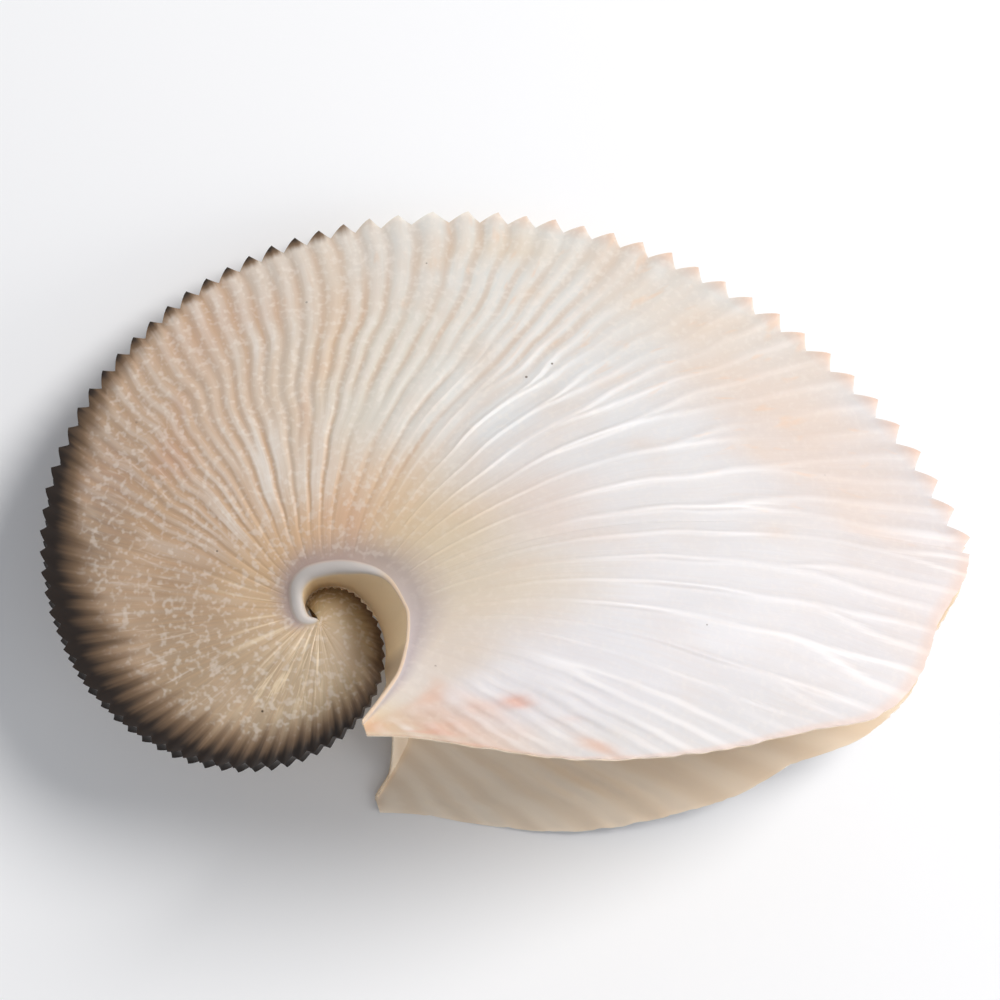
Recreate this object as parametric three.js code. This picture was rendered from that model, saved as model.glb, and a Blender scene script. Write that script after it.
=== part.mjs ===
// Shell of a paper nautilus: one thin, ribbed, coiled sheet with two rows of teeth along its keel.
// It lies on its far side, on z = 0, with the length of the shell along x.
//
// The sheet is drawn in the plane of the coil first. The coil's axis is the z axis there, x points
// along the length of the shell towards its open end, and z is measured to either side of the
// mid-plane. Growth is counted in degrees round the coil, clockwise seen from +z, and runs on past
// the last tooth along the lip, as far as the ear.
import * as THREE from 'three';

// Driving dimensions, in millimetres and degrees
const WALL = 1.1;
const EDGE_WALL = 0.6;
const EAR_TIP_WALL = 0.3;
// Growth over which the wall thins to those, along the ear, on the lip and at the ear's tip
const EAR_THINS = [355, 440];
const LIP_THINS = [350, 380];
const EAR_TIP_THINS = [440, 453];
// Thickness next to the two points where the coil began, and how it grows with the distance from there
const POLE_WALL = 0.25;
const POLE_WALL_TAPER = 0.16;
// The wall takes at most this share of the coil's half-breadth, and of its radius under the keel
const BREADTH_SHARE = 0.42;
const RADIUS_SHARE = 0.16;
// Inside, the keel keeps at least this share of its outer width
const KEEL_INSIDE_SHARE = 0.35;
const FIRST_GROWTH = -165;
const POLE_GROWTH = 105;
const LAST_TOOTH_GROWTH = 355;
const EAR_GROWTH = 453;
const LIP_RIBS = 24;

// Radius of the keel over its tooth tips: [growth, radius]
const KEEL_SPIRAL = [
  [-165, 4.2], [-124, 4.8], [-80, 5.5], [-40, 7], [0, 10], [40, 16.9], [80, 27.3], [120, 39.9],
  [160, 52.9], [200, 65.3], [240, 76.4], [280, 91.3], [320, 114.7], [340, 129.7], [355, 140.6],
];
// Half the width of the keel, as a share of the square root of the radius
const KEEL_HALF_WIDTH = 0.34;
// Height of the teeth, as a share of the square root of the radius: [growth, share]
const TOOTH_HEIGHT = [
  [-165, 0.2], [110, 0.22], [180, 0.22], [215, 0.24], [250, 0.27], [300, 0.285], [355, 0.3],
];
// Pitch of the teeth along the keel: [growth, millimetres]. Two are wide, where the shell was mended.
const TOOTH_PITCH = [
  [-165, 1.25], [0, 1.75], [40, 2.2], [80, 2.65], [120, 3.25], [140, 3.4], [155, 3.85], [180, 4.3],
  [205, 4.7], [230, 4.95], [250, 5.2], [270, 5.5], [276, 5.9], [281, 7.6], [285, 8.2], [289, 6.2],
  [305, 6.35], [330, 6.75], [345, 7.05], [355, 6.6],
];
// How far the tooth tips lean forward, as a share of their pitch: [growth, share]
const TOOTH_LEAN = [
  [-165, 0], [120, 0.02], [150, 0.1], [190, 0.14], [226, 0.09], [250, 0.04], [275, 0], [310, -0.01],
  [330, -0.04], [355, 0],
];
// The far row of teeth stands behind the near one: share of a pitch, and growth where this sets in and ends
const FAR_TEETH_LAG = 0.2;
const LAG_SETS_IN = [-165, -100];
const LAG_ENDS = [335, 355];

// Crest of the rolled shoulder round the umbilicus: [growth, x, y, z]
const SHOULDER = [
  [105, -0.9, -3.7, 6.9], [150, -4.1, -3.1, 7.7], [188, -5.5, -0.1, 8.8], [212, -5.5, 3.1, 10.3],
  [240, -3.1, 5.5, 12], [268, 1.7, 6.2, 14.2], [295, 6.4, 5.6, 16.6], [320, 11.2, 4, 19.1],
  [343, 14.8, 0.9, 21.9], [370, 18.1, -5.6, 26], [390, 18.6, -8.6, 27.8], [410, 18.6, -12.3, 29.8],
  [424, 18.3, -15.3, 31.3], [435, 16.9, -21.4, 34.2], [444, 13.6, -27.3, 37.2], [453, 9.9, -32.8, 39.7],
];
// Half the width of the rolled edge on the shoulder: [growth, half-width]
const ROLL = [
  [105, 0], [122, 0], [150, 1.4], [200, 1.9], [300, 1.7], [320, 1.3], [343, 0.8], [380, 0.55], [453, 0.55],
];
// Depth of the groove outside it, and how far in and down it has turned, as shares of that half-width
const GROOVE_DEPTH = 0.5;
const TURN_REACH = 0.8;
const TURN_DEPTH = 0.9;

// Free edge of the mouth from the last tooth to the ear: [growth, x, y, z]
const LIP = [
  [355, 138.6, 12.2, 4], [362, 137, 5.8, 5.5], [371, 131.1, -3.8, 8.2], [382, 125.8, -17, 11.8],
  [390, 117, -26.2, 15.7], [400, 101.6, -30.9, 22.4], [410, 84.6, -36, 28.8], [420, 68, -39.1, 34.4],
  [430, 51.7, -40.2, 38.7], [440, 33.6, -38.2, 40.6], [448, 19.5, -36, 40.4], [453, 10.8, -35.7, 40.2],
];
// The far lip is cut back a little near the open end: [growth, share of the rib's length]
const FAR_LIP_NOTCH = [[355, 0], [380, 0], [396, 0.04], [408, 0], [453, 0]];

// How far a rib bows back from the straight line between its ends: [growth, share of its length]
const RIB_BOW = [
  [-165, 0], [150, 0], [240, 0.02], [265, 0.03], [300, 0.05], [330, 0.075], [355, 0.085],
  [390, 0.068], [410, 0.05], [424, 0.028], [453, 0],
];
// How far its outer end hooks forward again: [growth, share of its length]
const RIB_HOOK = [
  [-165, 0], [235, 0], [255, 0.03], [275, 0.055], [290, 0.05], [310, 0.03], [335, 0], [453, 0],
];
const BOW_POWER = 0.8;
// Largest value of w ** 4 * (1 - w), which shapes the hook
const HOOK_PEAK = 4 ** 4 / 5 ** 5;

// Height of a rib crest above the mean surface, reached where the keel has this radius
const RIB_HEIGHT = 0.36;
const FULL_RIB_RADIUS = 60;
// Share of the rib where pairs of ribs part from each other, and where the first of them rise
const FORK = [0.36, 0.6];
const RISE = [0.02, 0.2];
// The last ribs fade towards the keel, and all of them fade out on the ear: growth, and share of the rib
const LATE_RIBS = [300, 350];
const LATE_FADE = [0.65, 0.95];
const EAR_FADE = [430, 448];
// How convex the flank is: 1 is a flat wedge
const FLANK_POWER = 1.9;

// The umbilical wall deepens from near the pole, and is gone again where the ear stands free
const WALL_START_GROWTH = 122;
const WALL_FULL_GROWTH = 200;
const WALL_LEAVES_GROWTH = 428;
const WALL_GONE_GROWTH = 447;
const COIL_CLEARANCE = 0.7;
const CURLED_EDGE_DEPTH = 0.9;
// Inner skin of the roll and the wall: its depth under the crest and its set-back, as shares of the roll
const CORNER_DEPTH = 0.7;
const WALL_LEAN = 1.3;
const INNER_WALL_DROP = 0.05;

// How the shell lies on its far side: turned about x, then about y
const LIE_ABOUT_X = -16.2;
const LIE_ABOUT_Y = 1.4;

const degrees = Math.PI / 180;
const { lerp, clamp, smoothstep } = THREE.MathUtils;

// Smooth curve through rows of [growth, value, value, ...], read at one growth
function along(knots, growth, column) {
  const last = knots.length - 1;
  let i = 0;
  while (i < last - 1 && growth > knots[i + 1][0]) i += 1;
  const [g0, g1] = [knots[i][0], knots[i + 1][0]];
  const slope = (n) => {
    const [a, b] = [knots[Math.max(n - 1, 0)], knots[Math.min(n + 1, last)]];
    return (b[column] - a[column]) / (b[0] - a[0]);
  };
  const t = clamp((growth - g0) / (g1 - g0), 0, 1);
  const [p0, p1] = [knots[i][column], knots[i + 1][column]];
  const [m0, m1] = [slope(i) * (g1 - g0), slope(i + 1) * (g1 - g0)];
  return (2 * t ** 3 - 3 * t ** 2 + 1) * p0 + (t ** 3 - 2 * t ** 2 + t) * m0
    + (3 * t ** 2 - 2 * t ** 3) * p1 + (t ** 3 - t ** 2) * m1;
}

function pointAlong(knots, growth) {
  return new THREE.Vector3(along(knots, growth, 1), along(knots, growth, 2), along(knots, growth, 3));
}

// Point at a radius in the direction of a growth angle
function polar(growth, radius, z) {
  const angle = -growth * degrees;
  return new THREE.Vector3(radius * Math.cos(angle), radius * Math.sin(angle), z);
}

const tipRadius = (growth) => along(KEEL_SPIRAL, Math.max(growth, FIRST_GROWTH), 1);
const keelHalfWidth = (growth) => KEEL_HALF_WIDTH * Math.sqrt(tipRadius(growth));
const toothHeight = (growth) => along(TOOTH_HEIGHT, growth, 1) * Math.sqrt(tipRadius(growth));
const baseRadius = (growth) => tipRadius(growth) - toothHeight(growth);
const shoulder = (growth) => pointAlong(SHOULDER, Math.max(growth, POLE_GROWTH));
const roll = (growth) => (growth > POLE_GROWTH ? Math.max(0, along(ROLL, growth, 1)) : 0);
const pole = pointAlong(SHOULDER, POLE_GROWTH);
const keelWall = (growth) => Math.min(WALL, RADIUS_SHARE * tipRadius(growth));

// Where a rib ends: at the foot of its tooth on the keel, or on the lip
function outerEnd(growth) {
  if (growth <= LAST_TOOTH_GROWTH) return polar(growth, baseRadius(growth), keelHalfWidth(growth));
  return pointAlong(LIP, growth);
}

// Direction from the shoulder out along the rib, in the plane of the coil
function outward(growth) {
  return outerEnd(growth).sub(shoulder(growth)).setZ(0).normalize();
}

// Point of the flank at share v of the way along a rib, from the groove by the shoulder to its end
function flankPoint(growth, v, side) {
  const notch = side < 0 && growth > LAST_TOOTH_GROWTH ? along(FAR_LIP_NOTCH, growth, 1) : 0;
  const w = v * (1 - notch);
  const start = shoulder(growth).addScaledVector(outward(growth), roll(growth));
  start.z -= GROOVE_DEPTH * roll(growth);
  const end = outerEnd(growth);
  const bow = along(RIB_BOW, growth, 1) * Math.sin(Math.PI * w ** BOW_POWER)
    - along(RIB_HOOK, growth, 1) * w ** 4 * (1 - w) / HOOK_PEAK;
  const [dx, dy] = [end.x - start.x, end.y - start.y];
  const z = lerp(end.z, start.z, 1 - w ** FLANK_POWER);
  return new THREE.Vector3(start.x + dx * w - dy * bow, start.y + dy * w + dx * bow, z);
}

// Free edge of the umbilical wall: beside the teeth of the whorl before, with a small clearance
function wallFoot(growth) {
  const s = shoulder(growth);
  let angle = -Math.atan2(s.y, s.x) / degrees;
  while (angle > growth - 180) angle -= 360;
  const under = Math.max(angle, FIRST_GROWTH);
  return polar(angle, tipRadius(under) + COIL_CLEARANCE, keelHalfWidth(under));
}

// Point of the rolled edge and the umbilical wall: q runs 0 at the crest, 1 where the roll turns
// down, and 2 at the free edge
function wallPoint(growth, q) {
  const crest = shoulder(growth);
  const turn = crest.clone().addScaledVector(outward(growth), -TURN_REACH * roll(growth));
  turn.z -= TURN_DEPTH * roll(growth);
  if (q <= 1) return crest.lerp(turn, q);
  const grown = smoothstep(growth, WALL_START_GROWTH, WALL_FULL_GROWTH);
  const left = 1 - smoothstep(growth, WALL_LEAVES_GROWTH, WALL_GONE_GROWTH);
  const foot = turn.clone().lerp(wallFoot(growth), grown * left);
  foot.z = Math.min(foot.z, turn.z - CURLED_EDGE_DEPTH * grown);
  return turn.lerp(foot, q - 1);
}

// Rib relief: +1 on a crest, -1 in a valley. Every second rib dies out towards the umbilicus.
function relief(column, v) {
  const all = column % 2 ? 1 : -1;
  const pairs = -Math.cos(column * Math.PI / 2);
  const outer = smoothstep(v, ...FORK);
  return all * outer + pairs * (1 - outer) * smoothstep(v, ...RISE);
}

function ribHeight(growth, v) {
  const size = Math.min(1, (tipRadius(Math.min(growth, LAST_TOOTH_GROWTH)) / FULL_RIB_RADIUS) ** 0.8);
  const late = smoothstep(growth, ...LATE_RIBS) * smoothstep(v, ...LATE_FADE);
  return RIB_HEIGHT * size * (1 - late / 2) * (1 - smoothstep(growth, ...EAR_FADE));
}

// Tip of a tooth, leaning forward from the keel
function toothTip(growth, pitch) {
  const tip = polar(growth + along(TOOTH_LEAN, growth, 1) * pitch, tipRadius(growth), 0);
  return tip.setZ(keelHalfWidth(growth));
}

// Columns of the sheet: valleys and crests in turn, a tooth pitch apart, then along the lip
function growthColumns() {
  const columns = [];
  let growth = FIRST_GROWTH;
  while (growth < LAST_TOOTH_GROWTH) {
    const pitch = along(TOOTH_PITCH, growth, 1) / tipRadius(growth) / degrees;
    columns.push({ growth, pitch }, { growth: growth + pitch / 2, pitch });
    growth += pitch;
  }
  const stretch = (LAST_TOOTH_GROWTH - FIRST_GROWTH) / (growth - FIRST_GROWTH);
  columns.forEach((c) => { c.growth = FIRST_GROWTH + (c.growth - FIRST_GROWTH) * stretch; });
  const lipStep = (EAR_GROWTH - LAST_TOOTH_GROWTH) / (2 * LIP_RIBS);
  for (let i = 0; i <= 2 * LIP_RIBS; i += 1) {
    columns.push({ growth: LAST_TOOTH_GROWTH + i * lipStep, pitch: 2 * lipStep });
  }
  return columns;
}

const columns = growthColumns();
const lastColumn = columns.length - 1;
const keelEndColumn = lastColumn - 2 * LIP_RIBS;

// Growth at a column: on the far side it lags a little behind the near side
function growthAt(column, side) {
  const { growth, pitch } = columns[column];
  if (side > 0) return growth;
  const lag = FAR_TEETH_LAG * smoothstep(growth, ...LAG_SETS_IN) * (1 - smoothstep(growth, ...LAG_ENDS));
  return growth - lag * pitch;
}

// Rows of the outer skin, from the keel to the free edge of the wall. Each takes one column in
// every step, and rank orders the rows.
const OUTER_ROWS = [
  { rank: 1, v: 1, step: 1 }, { rank: 2, v: 0.955, step: 1 }, { rank: 3, v: 0.86, step: 1 },
  { rank: 4, v: 0.72, step: 1 }, { rank: 5, v: 0.56, step: 1 }, { rank: 6, v: 0.37, step: 2 },
  { rank: 7, v: 0.18, step: 2 }, { rank: 8, v: 0, step: 2 }, { rank: 9, q: 0, step: 2 },
  { rank: 10, q: 1, step: 4 }, { rank: 11, q: 1.5, step: 4 }, { rank: 12, q: 2, step: 4 },
];
const INNERMOST_FLANK_RANK = 8;
// Rows of the inner skin
const INNER_ROWS = [
  { rank: 1, v: 1, step: 2 }, { rank: 3, v: 0.86, step: 2 }, { rank: 4.5, v: 0.62, step: 2 },
  { rank: 6.5, v: 0.33, step: 4 }, { rank: 8, v: 0, step: 4 }, { rank: 10, q: 1, step: 4 },
  { rank: 11, q: 1.5, step: 4 }, { rank: 12, q: 2, step: 4 },
];

// Smooth outer surface on the near side, before ribs and teeth
function smoothPoint(row, growth, side) {
  if ('v' in row) return flankPoint(growth, row.v, side);
  return wallPoint(growth, row.q);
}

// Outward normal of the smooth surface
function normalAt(row, growth, side) {
  const step = 0.5;
  const nudge = 0.04;
  const [level, top, inward] = 'v' in row ? ['v', 1, -nudge] : ['q', 2, nudge];
  const beside = (change) => smoothPoint({ [level]: clamp(row[level] + change, 0, top) }, growth, side);
  const across = beside(inward).sub(beside(-inward));
  const forward = smoothPoint(row, growth + step, side).sub(smoothPoint(row, growth - step, side));
  const normal = across.cross(forward);
  const noWall = growth <= WALL_START_GROWTH && row.rank >= INNERMOST_FLANK_RANK;
  if (normal.length() < 1e-5 || noWall) return new THREE.Vector3(0, 0, 1);
  return normal.normalize();
}

// Wall thickness: thinner along the ear and the lip, and never more than the early coil has room for
function thickness(row, growth, p) {
  const ear = smoothstep(growth, ...EAR_THINS);
  const lip = smoothstep(growth, ...LIP_THINS);
  const thin = 'q' in row ? ear : lerp(ear, lip, row.v);
  const nearPole = POLE_WALL + POLE_WALL_TAPER * p.distanceTo(pole);
  const full = lerp(lerp(WALL, EDGE_WALL, thin), EAR_TIP_WALL, smoothstep(growth, ...EAR_TIP_THINS));
  return Math.min(full, BREADTH_SHARE * p.z, nearPole);
}

function outerVertex(row, column, side) {
  const growth = growthAt(column, side);
  if (row.v === 1 && column < keelEndColumn && column % 2) return toothTip(growth, columns[column].pitch);
  const p = smoothPoint(row, growth, side);
  const onKeel = row.v === 1 && column <= keelEndColumn;
  if ('v' in row && !onKeel) p.z += ribHeight(growth, row.v) * relief(column, row.v);
  return p;
}

function innerVertex(row, column, side) {
  const growth = growthAt(column, side);
  const p = smoothPoint(row, growth, side);
  if (row.v === 1 && column <= keelEndColumn) {
    const t = keelWall(growth);
    return polar(growth, baseRadius(growth) - t, Math.max(KEEL_INSIDE_SHARE * p.z, p.z - t));
  }
  const t = thickness(row, growth, p);
  if ('v' in row || growth <= WALL_START_GROWTH) return p.addScaledVector(normalAt(row, growth, side), -t);
  const aside = Math.min(t, WALL_LEAN * roll(growth));
  const corner = shoulder(growth).addScaledVector(outward(growth), aside - TURN_REACH * roll(growth));
  corner.z -= Math.max(t, CORNER_DEPTH * roll(growth));
  if (row.q === 1) return corner;
  p.addScaledVector(normalAt(row, growth, side), -aside);
  return p.setZ(Math.min(p.z - (t - aside), corner.z - INNER_WALL_DROP * row.q));
}

// Middle line of the keel, between its two rows of teeth
function keelMiddle(column, inner) {
  const { growth } = columns[column];
  return polar(growth, baseRadius(growth) - (inner ? keelWall(growth) : 0), 0);
}

// Closed mesh put together from strips between rows of vertices. Equal points share one vertex.
class Sheet {
  constructor() {
    this.numbers = new Map();
    this.positions = [];
    this.triangles = [];
  }

  vertex(p, side) {
    const at = [p.x, p.y, p.z * side].map((c) => Math.round(c * 1000) / 1000 + 0);
    const key = at.join();
    if (!this.numbers.has(key)) {
      this.numbers.set(key, this.numbers.size);
      this.positions.push(...at);
    }
    return this.numbers.get(key);
  }

  triangle(a, b, c, flipped) {
    if (a === b || b === c || c === a) return;
    this.triangles.push(...(flipped ? [a, c, b] : [a, b, c]));
  }

  // Joins two rows of { key, id }, in the order of their keys
  strip(a, b, flipped) {
    let [i, k] = [0, 0];
    while (i < a.length - 1 || k < b.length - 1) {
      const stepA = k === b.length - 1 || (i < a.length - 1 && a[i + 1].key <= b[k + 1].key);
      if (stepA) this.triangle(a[i].id, b[k].id, a[i + 1].id, flipped);
      else this.triangle(a[i].id, b[k].id, b[k + 1].id, flipped);
      if (stepA) i += 1;
      else k += 1;
    }
  }
}

// One row of the sheet as vertices, from its first column to its last
function rowOf(sheet, step, first, last, side, place) {
  const row = [];
  for (let column = first; column <= last; column += 1) {
    if (column % step === 0 || column === last) {
      row.push({ key: column, id: sheet.vertex(place(column), side) });
    }
  }
  return row;
}

// Both skins of one side of the shell, its half of the keel and its edges
function addSide(sheet, side) {
  const far = side < 0;
  const skin = (rows, place) => rows.map((row) => rowOf(
    sheet, row.step, 0, lastColumn, side, (column) => place(row, column, side),
  ));
  const outer = skin(OUTER_ROWS, outerVertex);
  const inner = skin(INNER_ROWS, innerVertex);
  for (let i = 1; i < outer.length; i += 1) sheet.strip(outer[i - 1], outer[i], far);
  for (let i = 1; i < inner.length; i += 1) sheet.strip(inner[i - 1], inner[i], !far);

  const before = (row) => row.filter((p) => p.key <= keelEndColumn);
  const after = (row) => row.filter((p) => p.key >= keelEndColumn);
  const middle = (isInner) => rowOf(sheet, 2, 0, keelEndColumn, side, (c) => keelMiddle(c, isInner));
  const [outerMiddle, innerMiddle] = [middle(false), middle(true)];
  sheet.strip(outerMiddle, before(outer[0]), far);
  sheet.strip(innerMiddle, before(inner[0]), !far);

  sheet.strip(after(inner[0]), after(outer[0]), far);
  sheet.strip(outer.at(-1), inner.at(-1), far);
  const across = (rows, ranks, pick) => rows.map((row, i) => ({ key: ranks[i], id: pick(row).id }));
  const outerRanks = OUTER_ROWS.map((row) => row.rank);
  const innerRanks = INNER_ROWS.map((row) => row.rank);
  const [first, last] = [(row) => row[0], (row) => row.at(-1)];
  sheet.strip(
    across([outerMiddle, ...outer], [0, ...outerRanks], first),
    across([innerMiddle, ...inner], [0, ...innerRanks], first),
    far,
  );
  sheet.strip(across(inner, innerRanks, last), across(outer, outerRanks, last), far);
  sheet.strip(
    [{ key: 0, id: last(innerMiddle).id }, { key: 1, id: after(inner[0])[0].id }],
    [{ key: 0, id: last(outerMiddle).id }, { key: 1, id: after(outer[0])[0].id }],
    far,
  );
}

function shellGeometry() {
  const sheet = new Sheet();
  addSide(sheet, 1);
  addSide(sheet, -1);
  const geometry = new THREE.BufferGeometry();
  geometry.setAttribute('position', new THREE.Float32BufferAttribute(sheet.positions, 3));
  geometry.setIndex(sheet.triangles);
  return geometry;
}

// Lays the shell down: its lowest point on z = 0 and the middle of its length and width over the origin
function layDown(geometry) {
  geometry.rotateX(LIE_ABOUT_X * degrees);
  geometry.rotateY(LIE_ABOUT_Y * degrees);
  geometry.computeBoundingBox();
  const { min, max } = geometry.boundingBox;
  geometry.translate(-(min.x + max.x) / 2, -(min.y + max.y) / 2, -min.z);
  geometry.computeVertexNormals();
  return geometry;
}

const shell = new THREE.Mesh(
  layDown(shellGeometry()),
  new THREE.MeshStandardMaterial({ color: 0xe9e2d8, roughness: 0.55, metalness: 0 }),
);
shell.name = 'shell';

const paperNautilus = new THREE.Group();
paperNautilus.add(shell);
export default paperNautilus;
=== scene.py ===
"""Paper nautilus shell lying on its far flank on a pale floor.

The shell is one thin, ribbed, coiled sheet. Its surface is drawn in the plane of the coil: the coil's
axis is z there, x points along the shell towards its open end, and growth is counted in degrees round
the coil, clockwise seen from +z. Along a rib, share 1 is the keel or the lip, 0 is the groove beside
the ridge round the umbilicus, 0 to -1 is the rounded ridge, and -1 to -2 is the umbilical wall.
"""
import math

import bpy
import numpy as np
from mathutils import Matrix, Vector


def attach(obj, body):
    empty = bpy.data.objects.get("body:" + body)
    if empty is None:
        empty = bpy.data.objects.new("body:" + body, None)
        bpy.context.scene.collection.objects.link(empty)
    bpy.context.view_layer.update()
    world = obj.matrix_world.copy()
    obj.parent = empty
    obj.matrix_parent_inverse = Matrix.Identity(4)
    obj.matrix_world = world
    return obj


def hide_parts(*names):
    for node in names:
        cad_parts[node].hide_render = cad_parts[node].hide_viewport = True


MM = 0.001
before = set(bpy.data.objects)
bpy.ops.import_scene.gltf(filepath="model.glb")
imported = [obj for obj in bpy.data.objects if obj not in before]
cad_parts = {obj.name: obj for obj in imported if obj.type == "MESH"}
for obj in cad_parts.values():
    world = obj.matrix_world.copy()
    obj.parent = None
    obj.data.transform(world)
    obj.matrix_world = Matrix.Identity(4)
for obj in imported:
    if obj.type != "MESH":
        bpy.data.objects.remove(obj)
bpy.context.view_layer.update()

# Places and sizes, in millimetres and degrees of growth
COIL_AXIS = (-38.53, -19.19, 29.37)
LIE_ABOUT_X = -16.2
LIE_ABOUT_Y = 1.4
FIRST_GROWTH, POLE_GROWTH, LAST_TOOTH_GROWTH, EAR_GROWTH = -165, 105, 355, 453
LIP_RIBS = 24
# Thickness of the sheet, which thins towards the pole of the coil
WALL = 0.5
POLE_WALL = 0.2
POLE_WALL_TAPER = 0.1
# At most these shares of the keel's radius and of the height over the coil's plane
WALL_BY_KEEL, WALL_BY_HEIGHT = 0.12, 0.3
# Points are welded on a grid of so many steps a millimetre. Edges bent past this angle stay crisp.
WELD_STEPS = 2e4
SHARP_ANGLE = 62

# Camera's place from the coil's axis, its sensor and its lens in millimetres, and the floor in metres
CAMERA_FROM_AXIS = (37.6, 24.1, 752.5)
SENSOR_WIDTH, LENS = 36, 126
FLOOR_HALF = 6.0

# Keel radius over the tooth tips: growth, radius
KEEL_SPIRAL = [
    (-165, 4.2), (-124, 4.8), (-80, 5.5), (-40, 7), (0, 10), (40, 16.9), (80, 27.3), (120, 39.9),
    (160, 52.9), (200, 65.3), (240, 76.4), (280, 91.3), (320, 114.7), (340, 129.7), (355, 140.6),
]
# Half the keel's width, as a share of the square root of the radius
KEEL_HALF_WIDTH = 0.34
# How far the keel is hollowed between its teeth, as a share of their height
KEEL_DIP = 0.06
# Height of the teeth as a share of the square root of the radius: growth, share
TOOTH_HEIGHT = [
    (-165, 0.2), (110, 0.22), (180, 0.22), (215, 0.24), (250, 0.27), (300, 0.285), (355, 0.3),
]
# Pitch of the teeth along the keel: growth, millimetres. Two are wide, where the shell was mended.
TOOTH_PITCH = [
    (-165, 1.25), (0, 1.75), (40, 2.2), (80, 2.65), (120, 3.25), (140, 3.4), (155, 3.85), (180, 4.3),
    (205, 4.7), (230, 4.95), (250, 5.2), (270, 5.5), (276, 5.9), (281, 7.6), (285, 8.2), (289, 6.2),
    (305, 6.35), (330, 6.75), (345, 7.05), (355, 6.6),
]
# How far the tooth tips lean forward, as a share of their pitch
TOOTH_LEAN = [
    (-165, 0), (120, 0.02), (150, 0.1), (190, 0.14), (226, 0.09), (250, 0.04), (275, 0), (310, -0.01),
    (330, -0.04), (355, 0),
]
# The far row of teeth stands behind the near one: share of a pitch, and where this sets in and ends
FAR_TEETH_LAG = 0.2
LAG_SETS_IN = (-165, -100)
LAG_ENDS = (335, 355)

# Crest of the ridge round the umbilicus: growth, x, y, z
SHOULDER = [
    (105, -0.9, -3.7, 6.9), (150, -4.1, -3.1, 7.7), (188, -5.5, -0.1, 8.8), (212, -5.5, 3.1, 10.3),
    (240, -3.1, 5.5, 12), (268, 1.7, 6.2, 14.2), (295, 6.4, 5.6, 16.6), (320, 11.2, 4, 19.1),
    (343, 14.8, 0.9, 21.9), (370, 18.1, -5.6, 26), (390, 18.6, -8.6, 27.8), (410, 18.6, -12.3, 29.8),
    (424, 18.3, -15.3, 31.3), (435, 16.9, -21.4, 34.2), (444, 13.6, -27.3, 37.2),
    (453, 9.9, -32.8, 39.7),
]
# Half the breadth of the rounded ridge: growth, millimetres
RIDGE_HALF_WIDTH = [
    (105, 0), (110, 0.5), (120, 1), (135, 1.4), (150, 1.65), (200, 1.9), (290, 1.8), (315, 1.3),
    (335, 0.8), (360, 0.5), (453, 0.5),
]
# Section of the ridge from the groove over the crest to where the wall begins: share along it,
# distance out from the crest and height, both in half-widths
RIDGE_SECTION = [(0, 1, -0.5), (0.25, 0.56, -0.17), (0.5, 0, 0), (0.75, -0.56, -0.24), (1, -0.8, -0.9)]

# Free edge of the mouth: growth, x, y, z
LIP = [
    (355, 138.6, 12.2, 4), (362, 137, 5.8, 5.5), (371, 131.1, -3.8, 8.2), (382, 125.8, -17, 11.8),
    (390, 117, -26.2, 15.7), (400, 101.6, -30.9, 22.4), (410, 84.6, -36, 28.8), (420, 68, -39.1, 34.4),
    (430, 51.7, -40.2, 38.7), (440, 33.6, -38.2, 40.6), (448, 19.5, -36, 40.4), (453, 10.8, -35.7, 40.2),
]
# Shallow notch in the far lip: growth, share of the rib that is missing
FAR_LIP_NOTCH = [(355, 0), (380, 0), (396, 0.04), (408, 0), (453, 0)]
# How far the ribs bow forward and hook back by the keel: growth, share of their length
RIB_BOW = [
    (-165, 0), (150, 0), (240, 0.02), (265, 0.03), (300, 0.05), (330, 0.075), (355, 0.085),
    (390, 0.068), (410, 0.05), (424, 0.028), (453, 0),
]
RIB_HOOK = [
    (-165, 0), (235, 0), (255, 0.03), (275, 0.055), (290, 0.05), (310, 0.03), (335, 0), (453, 0),
]
BOW_POWER = 0.8
# The hook follows w to the fourth times 1 - w, which is highest at this value
HOOK_PEAK = 4 ** 4 / 5 ** 5
# How roundly the flank falls from the ridge to the keel
FLANK_POWER = 1.9

# Where the umbilical wall sets in and ends, how far it stays off the whorl before, and how deep
# the edge is curled where there is no wall
WALL_START_GROWTH, WALL_FULL_GROWTH = 122, 200
WALL_LEAVES_GROWTH, WALL_GONE_GROWTH = 428, 447
COIL_CLEARANCE = 0.2
CURLED_EDGE_DEPTH = 0.9
# Where the wall's foot stands, as a share of the half width of the keel under it
WALL_FOOT = 0.7

# Ribs: height of the crests in millimetres at five shares of each rib, from the umbilicus to its end
RIB_HEIGHT_SHARES = (0.06, 0.25, 0.5, 0.8, 0.97)
RIB_HEIGHTS = [
    (-165, 0.02, 0.02, 0.02, 0.02, 0.03), (60, 0.03, 0.03, 0.02, 0.03, 0.05),
    (110, 0.06, 0.04, 0.02, 0.03, 0.07), (150, 0.11, 0.06, 0.02, 0.04, 0.1),
    (190, 0.05, 0.08, 0.06, 0.07, 0.09), (215, 0.04, 0.1, 0.12, 0.1, 0.09),
    (250, 0.04, 0.12, 0.15, 0.12, 0.09), (285, 0.03, 0.1, 0.15, 0.11, 0.07),
    (310, 0.03, 0.09, 0.2, 0.05, 0.03), (350, 0.03, 0.07, 0.22, 0.05, 0.03),
    (375, 0.03, 0.07, 0.24, 0.1, 0.04), (400, 0.03, 0.08, 0.22, 0.22, 0.1),
    (425, 0.04, 0.07, 0.2, 0.26, 0.2), (440, 0.03, 0.05, 0.16, 0.2, 0.16),
    (453, 0.02, 0.02, 0.03, 0.03, 0.03),
]
# Share of its length at which two ribs join into one, and how uneven that is
FORK_SHARE = [
    (-165, 0.45), (200, 0.42), (285, 0.43), (305, 0.56), (345, 0.62), (362, 0.86), (395, 0.8),
    (412, 0.45), (453, 0.4),
]
FORK_UNEVEN = 0.13
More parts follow.
